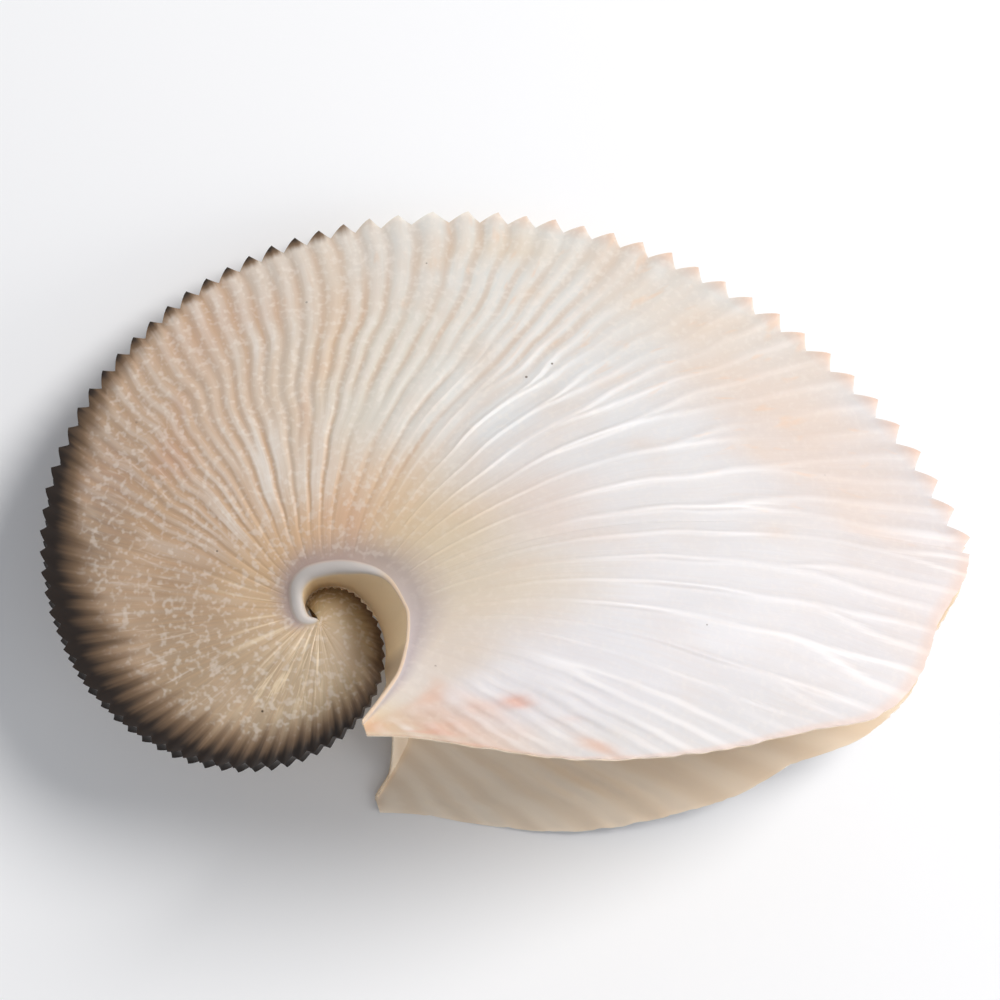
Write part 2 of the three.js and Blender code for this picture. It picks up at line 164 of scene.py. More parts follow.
# How far the ribs swing back near the umbilicus, in ribs
SWING = [
    (-165, 0), (150, 0), (190, -1.2), (215, -2.9), (275, -3.3), (300, -1.6), (330, -0.6), (370, 0),
    (453, 0),
]
SWING_SHARE = 0.42
# Rounded crests give way to thin sharp ones, and these to round ones again near the ear
BROAD_CRESTS_UNTIL, THIN_CRESTS_FROM = 278, 335
THIN_CRESTS_UNTIL, ROUND_CRESTS_FROM = 392, 415
# Height of the tooth roots on the flank, in millimetres
TOOTH_ROOT = 0.3
TOOTH_BACK_POWER, TOOTH_FRONT_POWER, TOOTH_UNEVEN = 1.35, 1.15, 0.08
# Smoother patch where the shell grew over a break: growth, share, reach in degrees and in share
MENDED_PATCH = (289, 0.8, 8, 0.2)

# Stain creeping in from the keel: growth, millimetres of full dark, millimetres until it has gone
STAIN = [
    (-165, -5, 0), (-75, -4, 0.5), (-45, -3, 2), (20, -2.5, 4.5), (60, -1.5, 5.5), (90, 0.5, 8),
    (116, 0, 10), (130, 0.8, 11.5), (145, 0.5, 13.5), (162, 0.8, 14.5), (176, 2.3, 15), (190, 2, 12.8),
    (205, 1, 10.5), (220, -3, 8), (235, -6, 5.5), (250, -7, 3), (270, -7, 1.5), (284, -6, 0),
    (453, -5, 0),
]

# Tones along the growth: beside the umbilicus, in the middle of the flank, along the keel or the lip
TONES = [
    (-165, "#A38F6A", "#9E8A65", "#887657"), (75, "#C1A98A", "#C5AF90", "#A68F70"),
    (115, "#C9B395", "#B39E83", "#98836A"), (160, "#C3A889", "#A99176", "#9B8166"),
    (205, "#C9A985", "#B4967A", "#A08A76"), (240, "#D1AE8A", "#CCB39C", "#C6AF99"),
    (280, "#D8B695", "#D8D0C2", "#D9D5CD"), (320, "#D7C0A1", "#DADAD9", "#D4D3CF"),
    (350, "#D1C2AB", "#D5D3D3", "#CBC6C6"), (425, "#CCC1B7", "#D0CDCF", "#CDCBCB"),
    (440, "#CEC5BB", "#CAB7AA", "#CCBCB0"), (453, "#D6BF98", "#D1B795", "#CFB99C"),
]
# Warm patches: growth, share, reach in degrees, reach in share, strength, colour
PATCHES = [
    (424.8, 0.52, 2.9, 0.05, 0.75, "#CF957C"), (424, 0.9, 1.6, 0.1, 0.6, "#D2A387"),
    (439, 0.68, 4.5, 0.3, 0.4, "#D2A995"), (443, 0.75, 2.2, 0.14, 0.6, "#D29A82"),
    (436, 0.28, 3, 0.08, 0.5, "#D2A78E"), (431, 0.5, 2, 0.2, 0.35, "#D2A78E"),
    (338, 0.84, 17, 0.13, 0.5, "#DCC0A9"), (321, 0.9, 13, 0.1, 0.4, "#DBC9B5"),
    (246.5, 0.87, 10, 0.1, 0.5, "#CBA78D"), (226.5, 0.62, 6.5, 0.09, 0.45, "#C0937A"),
    (212, 0.8, 7, 0.12, 0.3, "#B99078"), (269, 0.7, 2.7, 0.3, 0.4, "#D9BA98"),
    (264.5, 0.47, 2.3, 0.07, 0.45, "#D4A786"), (295, 0.93, 7.8, 0.05, 0.45, "#DBC2A1"),
    (343, 0.3, 15, 0.1, 0.3, "#D6B499"), (288, 0.1, 11, 0.06, 0.35, "#CC9D82"),
    (452, 0.4, 2.5, 0.5, 0.6, "#D8A888"),
]
# Ribs from one cream line to the next, beside the umbilicus
CREAM_RIB_SPACING = 2.4

# How finely the sheet is divided: columns along the growth, and shares along each rib
COLUMNS_PER_TOOTH = 8
COLUMNS_PER_EARLY_TOOTH = 4
COLUMNS_PER_THIN_RIB = 10
EARLY_TEETH_UNTIL = 60
THIN_RIBS_FROM = 290
OUTER_SHARES = np.concatenate([
    [1, 0.988, 0.972, 0.952, 0.925],
    np.linspace(0.89, 0.12, 21),
    [0.085, 0.05, 0.022],
    np.linspace(0, -1, 9),
    [-1.12, -1.3, -1.5, -1.75, -2],
])
INNER_SHARES = np.concatenate([
    [1, 0.972, 0.925],
    np.linspace(0.85, 0.12, 12),
    [0.05, 0, -0.5, -1, -1.3, -2],
])

# Uneven fields by what they make uneven, each with the number that its random draw starts from
FIELDS = {
    "teeth": 5, "forks": 11, "rib_height": 23, "slow_waver": 31, "quick_waver": 37, "chips": 41,
    "small_chips": 43, "stain_edge": 61, "lining_bands": 67, "tone_shift": 71, "rib_tone": 73,
    "patch_edges": 83, "cream_lines": 87, "cream_line_ends": 89, "grit": 97,
}
WAVES_IN_FIELD = 6
WAVE_SPREAD = 1.4


def along(knots, growth):
    """Smooth curve through rows of growth and values, read at every growth of an array."""
    table = np.array(knots, float)
    at, value = table[:, 0], table[:, 1:]
    before = np.maximum(np.arange(len(at)) - 1, 0)
    after = np.minimum(np.arange(len(at)) + 1, len(at) - 1)
    slope = (value[after] - value[before]) / (at[after] - at[before])[:, None]
    i = np.clip(np.searchsorted(at, growth, side="right") - 1, 0, len(at) - 2)
    step = at[i + 1] - at[i]
    t = np.clip((growth - at[i]) / step, 0, 1)[..., None]
    step = step[..., None]
    found = (
        (2 * t ** 3 - 3 * t ** 2 + 1) * value[i] + (t ** 3 - 2 * t ** 2 + t) * slope[i] * step
        + (3 * t ** 2 - 2 * t ** 3) * value[i + 1] + (t ** 3 - t ** 2) * slope[i + 1] * step
    )
    return found[..., 0] if value.shape[1] == 1 else found


def smooth(x, low, high):
    """Smooth step from 0 at low to 1 at high."""
    t = np.clip((x - low) / (high - low), 0, 1)
    return t * t * (3 - 2 * t)


def waves(x, y, field, side=1):
    """Smooth uneven field between about -1 and 1, the same every time; the far side has its own."""
    draw = np.random.default_rng(FIELDS[field] + (side < 0))
    total = 0
    for _ in range(WAVES_IN_FIELD):
        turn = draw.uniform(0, 2 * math.pi)
        phase = draw.uniform(0, 2 * math.pi)
        pace = draw.uniform(0.6, 1.7)
        total = total + np.cos(pace * (x * math.cos(turn) + y * math.sin(turn)) + phase)
    return total / math.sqrt(WAVES_IN_FIELD * WAVE_SPREAD)


def polar(growth, radius, z):
    angle = -np.radians(growth)
    return np.stack([radius * np.cos(angle), radius * np.sin(angle), z + 0 * radius], -1)


def tip_radius(growth):
    return along(KEEL_SPIRAL, np.clip(growth, FIRST_GROWTH, LAST_TOOTH_GROWTH))


def keel_half_width(growth):
    return KEEL_HALF_WIDTH * np.sqrt(tip_radius(growth))


def tooth_height(growth):
    return along(TOOTH_HEIGHT, growth) * np.sqrt(tip_radius(growth))


def shoulder(growth):
    return along(SHOULDER, np.maximum(growth, POLE_GROWTH))


def ridge_half_width(growth):
    return np.maximum(0, along(RIDGE_HALF_WIDTH, growth))


def outer_end(growth):
    """Where a rib ends: at the foot of its tooth on the keel, or on the lip."""
    on_keel = polar(growth, tip_radius(growth) - tooth_height(growth), keel_half_width(growth))
    return np.where((growth <= LAST_TOOTH_GROWTH)[..., None], on_keel, along(LIP, growth))


def outward(growth):
    """Direction from the shoulder out along the rib, in the plane of the coil."""
    way = outer_end(growth) - shoulder(growth)
    way[..., 2] = 0
    return way / np.linalg.norm(way, axis=-1, keepdims=True)


def flank(growth, share, side):
    """The flank along a rib, from the groove beside the ridge at share 0 to the rib's end at 1."""
    w = share * (1 - (side < 0) * along(FAR_LIP_NOTCH, growth))
    start, end, half = shoulder(growth), outer_end(growth), ridge_half_width(growth)
    start = start + outward(growth) * half[..., None]
    start[..., 2] += RIDGE_SECTION[0][2] * half
    bow = along(RIB_BOW, growth) * np.sin(math.pi * w ** BOW_POWER)
    bow = bow - along(RIB_HOOK, growth) * w ** 4 * (1 - w) / HOOK_PEAK
    dx, dy = end[..., 0] - start[..., 0], end[..., 1] - start[..., 1]
    height = end[..., 2] + (start[..., 2] - end[..., 2]) * (1 - w ** FLANK_POWER)
    return np.stack([start[..., 0] + dx * w - dy * bow, start[..., 1] + dy * w + dx * bow, height], -1)


def ridge(growth, share):
    """The rounded ridge, from the groove at share 0 to the start of the wall at 1."""
    section = along(RIDGE_SECTION, share)
    half = ridge_half_width(growth)
    place = shoulder(growth) + outward(growth) * (section[..., 0] * half)[..., None]
    place[..., 2] += section[..., 1] * half
    return place


def wall(growth, share):
    """The umbilical wall, from the ridge at share 0 down to the whorl before at 1."""
    top, crest = ridge(growth, np.ones_like(share)), shoulder(growth)
    angle = -np.degrees(np.arctan2(crest[..., 1], crest[..., 0]))
    angle = angle - 360 * np.ceil((angle - (growth - 180)) / 360)
    under = np.maximum(angle, FIRST_GROWTH)
    foot = polar(angle, tip_radius(under) + COIL_CLEARANCE, WALL_FOOT * keel_half_width(under))
    grown = smooth(growth, WALL_START_GROWTH, WALL_FULL_GROWTH)
    left = 1 - smooth(growth, WALL_LEAVES_GROWTH, WALL_GONE_GROWTH)
    foot = top + (foot - top) * (grown * left)[..., None]
    foot[..., 2] = np.minimum(foot[..., 2], top[..., 2] - CURLED_EDGE_DEPTH * grown)
    return top + (foot - top) * share[..., None]


def smooth_surface(growth, share, side):
    """Every point of the outer skin before ribs and teeth, on the near side's half."""
    parts = [
        flank(growth, np.clip(share, 0, 1), side),
        ridge(growth, np.clip(-share, 0, 1)),
        wall(growth, np.clip(-share - 1, 0, 1)),
    ]
    which = np.where(share >= 0, 0, np.where(share >= -1, 1, 2))[..., None]
    return np.where(which == 0, parts[0], np.where(which == 1, parts[1], parts[2]))


def rib_places():
    """Growth at each whole rib number, and the number of ribs that end in a tooth."""
    marks, growth = [], float(FIRST_GROWTH)
    while growth < LAST_TOOTH_GROWTH:
        marks.append(growth)
        at = np.array(growth)
        growth += math.degrees(along(TOOTH_PITCH, at) / tip_radius(at))
    marks = np.array(marks + [growth])
    span = growth - FIRST_GROWTH
    marks = FIRST_GROWTH + (marks - FIRST_GROWTH) * (LAST_TOOTH_GROWTH - FIRST_GROWTH) / span
    lip = np.linspace(LAST_TOOTH_GROWTH, EAR_GROWTH, LIP_RIBS + 1)[1:]
    return np.concatenate([marks, lip]), len(marks) - 1


RIB_GROWTH, TEETH = rib_places()
LAST_RIB = len(RIB_GROWTH) - 1


def growth_at(rib):
    return np.interp(rib, np.arange(LAST_RIB + 1), RIB_GROWTH)


def rib_columns():
    """Rib numbers of the mesh's columns: each tooth has one at its foot and one at its tip."""
    columns = []
    for k in range(LAST_RIB):
        many = COLUMNS_PER_THIN_RIB if RIB_GROWTH[k] > THIN_RIBS_FROM else COLUMNS_PER_TOOTH
        half = (COLUMNS_PER_EARLY_TOOTH if RIB_GROWTH[k] < EARLY_TEETH_UNTIL else many) // 2
        tip = tooth_tip_phase(RIB_GROWTH[k])
        columns += [k + tip * i / half for i in range(half)]
        columns += [k + tip + (1 - tip) * i / half for i in range(half)]
    return np.array(columns + [LAST_RIB])


def tooth_tip_phase(growth):
    return 0.5 + along(TOOTH_LEAN, np.minimum(np.asarray(growth, float), LAST_TOOTH_GROWTH))


def tooth_profile(rib):
    """Height of the teeth as a share of their full height: a convex back, a straighter front."""
    number, phase = np.floor(rib), rib % 1
    tip = tooth_tip_phase(growth_at(number))
    back = 1 - (1 - np.clip(phase / tip, 0, 1)) ** TOOTH_BACK_POWER
    front = np.clip((1 - phase) / (1 - tip), 0, 1) ** TOOTH_FRONT_POWER
    uneven = 1 + TOOTH_UNEVEN * waves(number * 2.1, 0 * number, "teeth")
    profile = np.where(phase <= tip, back, front) * uneven
    return profile * (rib < TEETH)


def far_lag(rib):
    """How far the ribs and teeth of the far side stand behind the near side's, in ribs."""
    growth = growth_at(rib)
    return FAR_TEETH_LAG * smooth(growth, *LAG_SETS_IN) * (1 - smooth(growth, *LAG_ENDS))


def rib_section(rib, growth, v, side):
    """Rib section between about -1 in the valleys and 1 on the crests, joined in pairs further in."""
    pair = np.floor(rib / 2)
    fork = along(FORK_SHARE, growth) + FORK_UNEVEN * waves(pair * 2.3, 0 * pair, "forks", side)
    apart = smooth(v, fork - 0.08, fork + 0.12)
    middle = np.abs(rib % 2 - 1)
    crest = np.abs(middle - 0.5 * apart)
    broad = 1 - 2 * np.exp(-((1 - middle) / 0.3) ** 2) - 2 * apart * np.exp(-(middle / 0.25) ** 2)
    thin = 1.3 * np.exp(-(crest / 0.16) ** 2) + 0.9 * np.exp(-(crest / 0.3) ** 2) - 1
    thinned = smooth(growth, BROAD_CRESTS_UNTIL, THIN_CRESTS_FROM)
    thinned = thinned * (1 - smooth(growth, THIN_CRESTS_UNTIL, ROUND_CRESTS_FROM))
    return broad + (thin - broad) * thinned


def rib_height(rib, growth, v):
    """Height of the crests in millimetres: strong on the later flank, faint on the old one."""
    at = along(RIB_HEIGHTS, growth)
    shares = np.array(RIB_HEIGHT_SHARES)
    height = at[..., 0]
    for k in range(len(shares) - 1):
        height = height + (at[..., k + 1] - at[..., k]) * smooth(v, shares[k], shares[k + 1])
    mended_growth, mended_share, wide, long = MENDED_PATCH
    mended = np.exp(-((growth - mended_growth) / wide) ** 2 - ((v - mended_share) / long) ** 2)
    swing = 0.4 + 0.3 * smooth(growth, 290, 340)
    uneven = np.clip(1 + swing * waves(rib * 1.2, v * 20, "rib_height"), 0.2, 2)
    return height * uneven * (1 - 0.8 * mended) * smooth(v, 0, 0.05)


def waver(rib, growth, v, side):
    """How far the ribs stray sideways, in ribs: swung back by the umbilicus, wavering together."""
    swing = along(SWING, growth) * np.clip(1 - v / SWING_SHARE, 0, 1) ** 1.6
    sway = 0.24 * waves(rib * 0.22, v * 14, "slow_waver", side)
    sway = sway + 0.1 * waves(rib * 1.1, v * 34, "quick_waver", side)
    by_ear = smooth(rib, LAST_RIB - 4, LAST_RIB - 1)
    calm = smooth(v, 0, 0.15) * (1 - smooth(v, 0.8, 0.97)) * (1 - by_ear)
    return swing + sway * calm * smooth(growth, 175, 225) * (1 - 0.4 * smooth(growth, 290, 340))


def skin(ribs, shares, side):
    """Outer skin at each share and rib, its smooth normal and what its finish is painted by."""
    rib, share = np.meshgrid(ribs, shares)
    v = np.clip(share, 0, 1)
    lag = far_lag(rib) if side < 0 else 0
    growth = growth_at(np.clip(rib - lag + waver(rib, growth_at(rib), v, side), 0, LAST_RIB))
    place = smooth_surface(growth, share, side)
    normal = np.cross(np.gradient(place, axis=0), np.gradient(place, axis=1))
    length = np.linalg.norm(normal, axis=-1, keepdims=True)
    flat = (length[..., 0] < 1e-9) | ((growth <= WALL_START_GROWTH) & (share <= 0))
    normal = np.where(flat[..., None], (0, 0, 1), normal / np.maximum(length, 1e-12))
    crest = rib_section(rib, growth, v, side)
    place[..., 2] += crest * rib_height(rib, growth, v) * (share > 0)
    add_teeth(place, rib, growth, share)
    fray_lip(place, rib, share, side)
    return place, normal, rib, growth, share, crest


def add_teeth(place, rib, growth, share):
    """Raises the teeth from the keel, and their roots from the flank beside it."""
    tooth = tooth_profile(rib) * (share > 0)
    reach = tooth * tooth_height(growth) * (share == 1)
    out = polar(growth, np.ones_like(growth), 0.0)
    place += out * reach[..., None]
    root = smooth(share, 0.84, 0.985) * (tip_radius(growth) > 20)
    late = smooth(growth, 285, 320)
    place[..., 2] += TOOTH_ROOT * (1 - 0.5 * late) * (tooth - 0.4) * root * (share < 1) * (rib < TEETH)


def fray_lip(place, rib, share, side):
    """Small chips along the free edge of the mouth."""
    edge = (share == 1) * smooth(rib, TEETH, TEETH + 2) * (1 - smooth(rib, LAST_RIB - 2, LAST_RIB))
    chip = 0.28 * waves(rib * 7, 0 * rib, "chips", side)
    chip = chip + 0.16 * waves(rib * 23, 0 * rib, "small_chips", side)
    away = np.zeros_like(place)
    away[:-1] = place[1:] - place[:-1]
    away /= np.maximum(np.linalg.norm(away, axis=-1, keepdims=True), 1e-9)
    place += away * (edge * np.clip(chip, -0.1, 0.6))[..., None]


def wall_thickness(place, growth):
    pole = along(SHOULDER, np.array(float(POLE_GROWTH)))
    near_pole = POLE_WALL + POLE_WALL_TAPER * np.linalg.norm(place - pole, axis=-1)
    return np.minimum(np.minimum(WALL, WALL_BY_HEIGHT * np.abs(place[..., 2])), near_pole)


class Sheet:
    """Vertices with what their finish is painted by, and the triangles between them."""

    def __init__(self):
        self.points, self.paint, self.faces, self.count = [], [], [], 0

    def add(self, place, mirror, **paint):
        """Adds a grid of points and gives back their numbers."""
        shape = place.shape[:2]
        self.points.append((place * (1, 1, mirror)).reshape(-1, 3))
        spread = {name: np.broadcast_to(value, shape).reshape(-1) for name, value in paint.items()}
        self.paint.append(spread)
        numbers = np.arange(self.count, self.count + shape[0] * shape[1]).reshape(shape)
        self.count += shape[0] * shape[1]
        return numbers

    def fill(self, numbers, flipped):
        """Fills a grid with triangles."""
        a, b, c, d = numbers[:-1, :-1], numbers[1:, :-1], numbers[1:, 1:], numbers[:-1, 1:]
        quads = np.stack([a, b, c, d], -1).reshape(-1, 4)
        three = np.concatenate([quads[:, [0, 1, 2]], quads[:, [0, 2, 3]]])
        self.faces.append(three[:, ::-1] if flipped else three)

    def sew(self, a, a_keys, b, b_keys, flipped):
        """Joins two edges of different fineness, in the order of their keys."""
        i, k, made = 0, 0, []
        while i < len(a) - 1 or k < len(b) - 1:
            step = k == len(b) - 1 or (i < len(a) - 1 and a_keys[i + 1] <= b_keys[k + 1] + 1e-9)
            made.append((a[i], b[k], a[i + 1] if step else b[k + 1]))
            i, k = (i + 1, k) if step else (i, k + 1)
        made = np.array(made)
        self.faces.append(made[:, ::-1] if flipped else made)


def keel_rows(sheet, ribs, inside):
    """The narrow keel between its two rows of teeth: three rows of points, near to far."""
    growth = growth_at(ribs)
    radius = tip_radius(growth) - tooth_height(growth)
    lining = np.minimum(WALL, WALL_BY_KEEL * tip_radius(growth))
    deep = lining if inside else KEEL_DIP * tooth_height(growth)
    rows = [polar(growth, radius - deep, keel_half_width(growth) * f) for f in (0.5, 0, -0.5)]
    shape = (3, len(ribs))
    return sheet.add(
        np.stack(rows), 1, rib=np.broadcast_to(ribs, shape), growth=np.broadcast_to(growth, shape),
        share=np.ones(shape), crest=np.full(shape, 0.3), tooth=0.0, inside=float(inside), away=0.0,
    )


def distance_from_keel(place):
    """Length along each rib from its outer end, over the flank."""
    steps = np.linalg.norm(np.diff(place, axis=0), axis=-1)
    return np.concatenate([np.zeros((1, place.shape[1])), np.cumsum(steps, axis=0)])


def half_shell(sheet, ribs, side):
    """Both skins of one side. Gives back the numbers of their points."""
    place, normal, rib, growth, share, crest = skin(ribs, OUTER_SHARES, side)
    paint = dict(rib=rib, growth=growth, share=share, crest=crest, away=distance_from_keel(place))
    outer = sheet.add(place, side, tooth=tooth_profile(rib) * (share == 1), inside=0.0, **paint)
    rows = [int(np.argmin(abs(OUTER_SHARES - s))) for s in INNER_SHARES]
    columns = [i for i in range(len(ribs)) if i % 2 == 0 or i == len(ribs) - 1]
    pick = np.ix_(rows, columns)
    place, normal, growth = place[pick], normal[pick], growth[pick]
    thick = wall_thickness(place, growth)
    lining = place - normal * thick[..., None]
    on_keel = ribs[columns] <= TEETH
    radius = tip_radius(growth[0]) - tooth_height(growth[0]) - thick[0]
    keel = polar(growth[0], radius, keel_half_width(growth[0]))
    keel[:, 2] = np.maximum(0.4 * keel[:, 2], keel[:, 2] - 1.5 * thick[0])
    lining[0] = np.where(on_keel[:, None], keel, lining[0])
    inner = sheet.add(lining, side, tooth=0.0, inside=1.0, **{name: paint[name][pick] for name in paint})
    far = side < 0
    sheet.fill(outer, far)
    sheet.fill(inner, not far)
    return outer, inner, columns


def shell_sheet():
    """The whole shell as one closed sheet."""
    sheet, ribs = Sheet(), rib_columns()
    near = half_shell(sheet, ribs, 1)
    away = half_shell(sheet, ribs, -1)
    columns = near[2]
    keel_outer = np.flatnonzero(ribs <= TEETH)
    keel_inner = [i for i, c in enumerate(columns) if ribs[c] <= TEETH]
    outside = keel_rows(sheet, ribs[keel_outer], False)
    inside = keel_rows(sheet, ribs[[columns[i] for i in keel_inner]], True)
    sheet.fill(np.concatenate([near[0][:1, keel_outer], outside, away[0][:1, keel_outer]])[::-1], False)
    sheet.fill(np.concatenate([near[1][:1, keel_inner], inside, away[1][:1, keel_inner]])[::-1], True)
    for outer, inner, _ in (near, away):
        far = outer is away[0]
        lip = keel_outer[-1]
        lip_inner = keel_inner[-1]
        fine, coarse = ribs[lip:], ribs[[columns[i] for i in range(lip_inner, len(columns))]]
        sheet.sew(inner[0, lip_inner:], coarse, outer[0, lip:], fine, far)
        sheet.sew(outer[-1], ribs, inner[-1], ribs[columns], far)
        sheet.sew(outer[:, 0], -OUTER_SHARES, inner[:, 0], -INNER_SHARES, far)
        sheet.sew(inner[:, -1], -INNER_SHARES, outer[:, -1], -OUTER_SHARES, far)
    ends = [
        [near[0][0, keel_outer[i]]] + list(outside[:, i]) + [away[0][0, keel_outer[i]]] for i in (0, -1)
    ]
    linings = [
        [near[1][0, keel_inner[i]]] + list(inside[:, i]) + [away[1][0, keel_inner[i]]] for i in (0, -1)
    ]
    sheet.sew(ends[0][::-1], range(5), linings[0][::-1], range(5), False)
    sheet.sew(linings[1][::-1], range(5), ends[1][::-1], range(5), False)
    return sheet


def weld(points, faces):
    """Merges points that fall together and drops the triangles that this closes up."""
    keys = np.round(points * WELD_STEPS).astype(np.int64)
    _, first, number = np.unique(keys, axis=0, return_index=True, return_inverse=True)
    faces = number.reshape(-1)[faces]
    a, b, c = faces.T
    open_ones = (a != b) & (b != c) & (c != a)
    return first, faces[open_ones]


def lie_down():
    """Turns the plane of the coil to how the shell lies on its far flank."""
    about_y = Matrix.Rotation(math.radians(LIE_ABOUT_Y), 4, "Y")
    about_x = Matrix.Rotation(math.radians(LIE_ABOUT_X), 4, "X")
    turn = about_y @ about_x
    return Matrix.Translation(Vector(COIL_AXIS) * MM) @ turn @ Matrix.Scale(MM, 4)


def make_shell():
    sheet = shell_sheet()
    points, faces = np.concatenate(sheet.points), np.concatenate(sheet.faces)
    kept, faces = weld(points, faces)
    mesh = bpy.data.meshes.new("nautilus_shell")
    mesh.from_pydata(points[kept].tolist(), [], faces.tolist())
    mesh.transform(lie_down())
    paint = {name: np.concatenate([p[name] for p in sheet.paint])[kept] for name in sheet.paint[0]}
    for name, values in finish_fields(paint).items():
        kind, key = ("FLOAT", "value") if values.ndim == 1 else ("FLOAT_VECTOR", "vector")
        layer = mesh.attributes.new(name, kind, "POINT")
        layer.data.foreach_set(key, values.astype(np.float32).ravel())
    mesh.shade_smooth()
    mesh.set_sharp_from_angle(angle=math.radians(SHARP_ANGLE))
    piece = bpy.data.objects.new("nautilus_shell", mesh)
    bpy.context.scene.collection.objects.link(piece)
    return piece


def finish_fields(paint):
    """What the material is painted by, at each point: colours, and how much each mark shows."""
    rib, growth, share, away = paint["rib"], paint["growth"], paint["share"], paint["away"]
    flank = (1 - paint["inside"]) * (share > 0)
    by_umbilicus = smooth(share, 0.03, 0.1) * (1 - smooth(share, 0.5, 0.8))
    middle = smooth(share, 0.35, 0.5) * (1 - smooth(share, 0.78, 0.9))
    by_keel = smooth(share, 0.5, 0.75)
    pole = smooth(growth, 75, 95) * (1 - smooth(growth, 122, 138))
    below_pole = smooth(growth, 120, 150) * (1 - smooth(growth, 220, 250))
    later = smooth(growth, 235, 300) * (1 - smooth(growth, 345, 365))
    shown = {
        "stain": stain_depth(rib, growth, away, paint["tooth"]),
        "stained": smooth(growth, -80, -40) * (1 - smooth(growth, 270, 285)),
        "lined": 0.35 - 0.3 * smooth(growth, 200, 290),
        "scratched": 0.32 * below_pole * middle,
        # Cream flecks by the umbilicus: their own cream, with a painted sheen on them.
        "cream_flecks_and_painted_sheen": 0.6 * pole * by_umbilicus,
        "streaked": 0.3 * later * by_keel,
        "clouded": 0.35 - 0.25 * smooth(growth, 290, 350),
        "gritty": smooth(waves(rib * 0.9, share * 11, "grit"), 0.35, 0.8),
    }
    fields = {name: amount * flank for name, amount in shown.items()}
    fields["tone"] = surface_tone(paint)
    fields["rib_place"] = np.stack([rib, away, 0 * rib], -1)
    return fields


def laid_over(tone, cover, hex_colour):
    """Lays a colour over a tone, as thick as the cover says."""
    return tone + (np.array(linear(hex_colour)[:3]) - tone) * np.clip(cover, 0, 1)[:, None]


def surface_tone(paint):
    """Tone of every part of the shell as linear colour, with painted shade in the groove by the ridge
    and a painted glow on the umbilical wall and the lining.
    """
    growth, share, inside = paint["growth"], paint["share"], paint["inside"]
    tone = flank_tone(paint["rib"], growth, np.clip(share, 0, 1), paint["crest"])
    # Painted shade: a lilac-grey darkening in the groove beside the ridge, where shade falls.
    groove = (1 - smooth(share, 0.015, 0.08)) * smooth(share, -0.2, -0.02) * smooth(growth, 112, 150)
    tone = laid_over(tone, 0.6 * groove, "#9C9098")
    ridge_part = (1 - smooth(share, -0.22, 0)) * smooth(growth, 106, 118)
    tone = laid_over(tone, ridge_part * (1 - smooth(growth, 318, 350)), "#CCC5BF")
    tone = laid_over(tone, ridge_part * smooth(growth, 318, 350), "#CFB79E")
    wall_part = 1 - smooth(share, -1.05, -0.8)
    # Painted glow: the umbilical wall is painted paler than its own tan, standing in for light coming
    # through the thin wall and lifting the shade under the ridge.
    tone = laid_over(tone, wall_part * smooth(growth, 110, 130), "#F8DFB6")
    tone = laid_over(tone, 0.7 * wall_part * smooth(growth, 418, 432), "#A48F78")
    edge = 0.6 * smooth(share, 0.965, 1) * smooth(growth, 350, 360)
    tips = paint["tooth"] * smooth(growth, 285, 300)
    tone = laid_over(tone, 0.6 * np.maximum(edge, tips), "#D8A888")
    # The lining: its own cream, painted brighter as a glow of light coming through the thin wall, with
    # paler painted bands along the ribs where that light shows through them.
    strayed = paint["rib"] / 2 + 0.4 * waves(paint["rib"] * 0.5, share * 3, "lining_bands")
    glow_bands = smooth(np.abs(strayed % 1 - 0.5), 0.1, 0.4)
    lining = laid_over(np.tile(linear("#EBD8C0")[:3], (len(growth), 1)), 0.45 * glow_bands, "#FCEFDC")
    return tone + (lining - tone) * inside[:, None]


def flank_tone(rib, growth, v, crest):
    """Broad tones of the flank, pale crests with painted highlight, warm valleys with painted shade,
    patches, cream lines.
    """
    at = [row[0] for row in TONES]
    by_umbilicus, middle, by_keel = (
        along([(g, *linear(row[k])[:3]) for g, row in zip(at, TONES)], growth) for k in (1, 2, 3)
    )
    shift = 0.05 * waves(rib * 0.5, v * 9, "tone_shift")
    near, far = 1 - smooth(v + shift, 0.1, 0.42), smooth(v + shift, 0.55, 0.95)
    tone = middle + (by_umbilicus - middle) * near[:, None] + (by_keel - middle) * far[:, None]
    uneven = np.clip(0.6 + 0.6 * waves(rib * 1.3, v * 16, "rib_tone"), 0, 1.2)
    ribbed = smooth(growth, 150, 225) * smooth(v, 0.08, 0.3)
    late = smooth(growth, 285, 340)
    # Valleys: their own warm tan, with painted shade in the creases between the crests.
    valley_tint_and_shade = smooth(-crest, 0.1, 1) * ribbed * (1 - late) * uneven
    tone = laid_over(tone, 0.55 * valley_tint_and_shade, "#C39E7B")
    # Crests: their own pale colour, with a painted highlight where the light falls on them.
    pale = 0.65 * smooth(crest, 0.2, 0.9) * ribbed * (1 - late) * (0.4 + 0.6 * smooth(growth, 190, 240))
    tone = laid_over(tone, pale * uneven, "#E8E0D6")
    # Painted highlight: white along the thin crests of the later flank.
    tone = laid_over(tone, 0.4 * smooth(crest, 0, 1) * late * smooth(v, 0.25, 0.4) * uneven, "#F1EEED")
    for patch_growth, patch_share, wide, long, strength, colour in PATCHES:
        ragged = np.clip(1 + 0.5 * waves(rib * 1.6, v * 30, "patch_edges"), 0.2, 3)
        spread = ((growth - patch_growth) / wide) ** 2 + ((v - patch_share) / long) ** 2
        tone = laid_over(tone, strength * np.exp(-spread * ragged), colour)
    place = rib / CREAM_RIB_SPACING + 0.35 * waves(rib * 0.7, v * 5, "cream_lines")
    line = 1 - smooth(np.abs(place % 1 - 0.5), 0.04, 0.2)
    ends = v + 0.12 * waves(rib * 1.1, 0 * v, "cream_line_ends")
    reach = smooth(v, 0.03, 0.09) * (1 - smooth(ends, 0.16, 0.36))
    shown = 0.55 * line * reach * smooth(growth, 95, 125) * (1 - smooth(growth, 180, 215))
    return laid_over(tone, shown, "#EEDBBC")


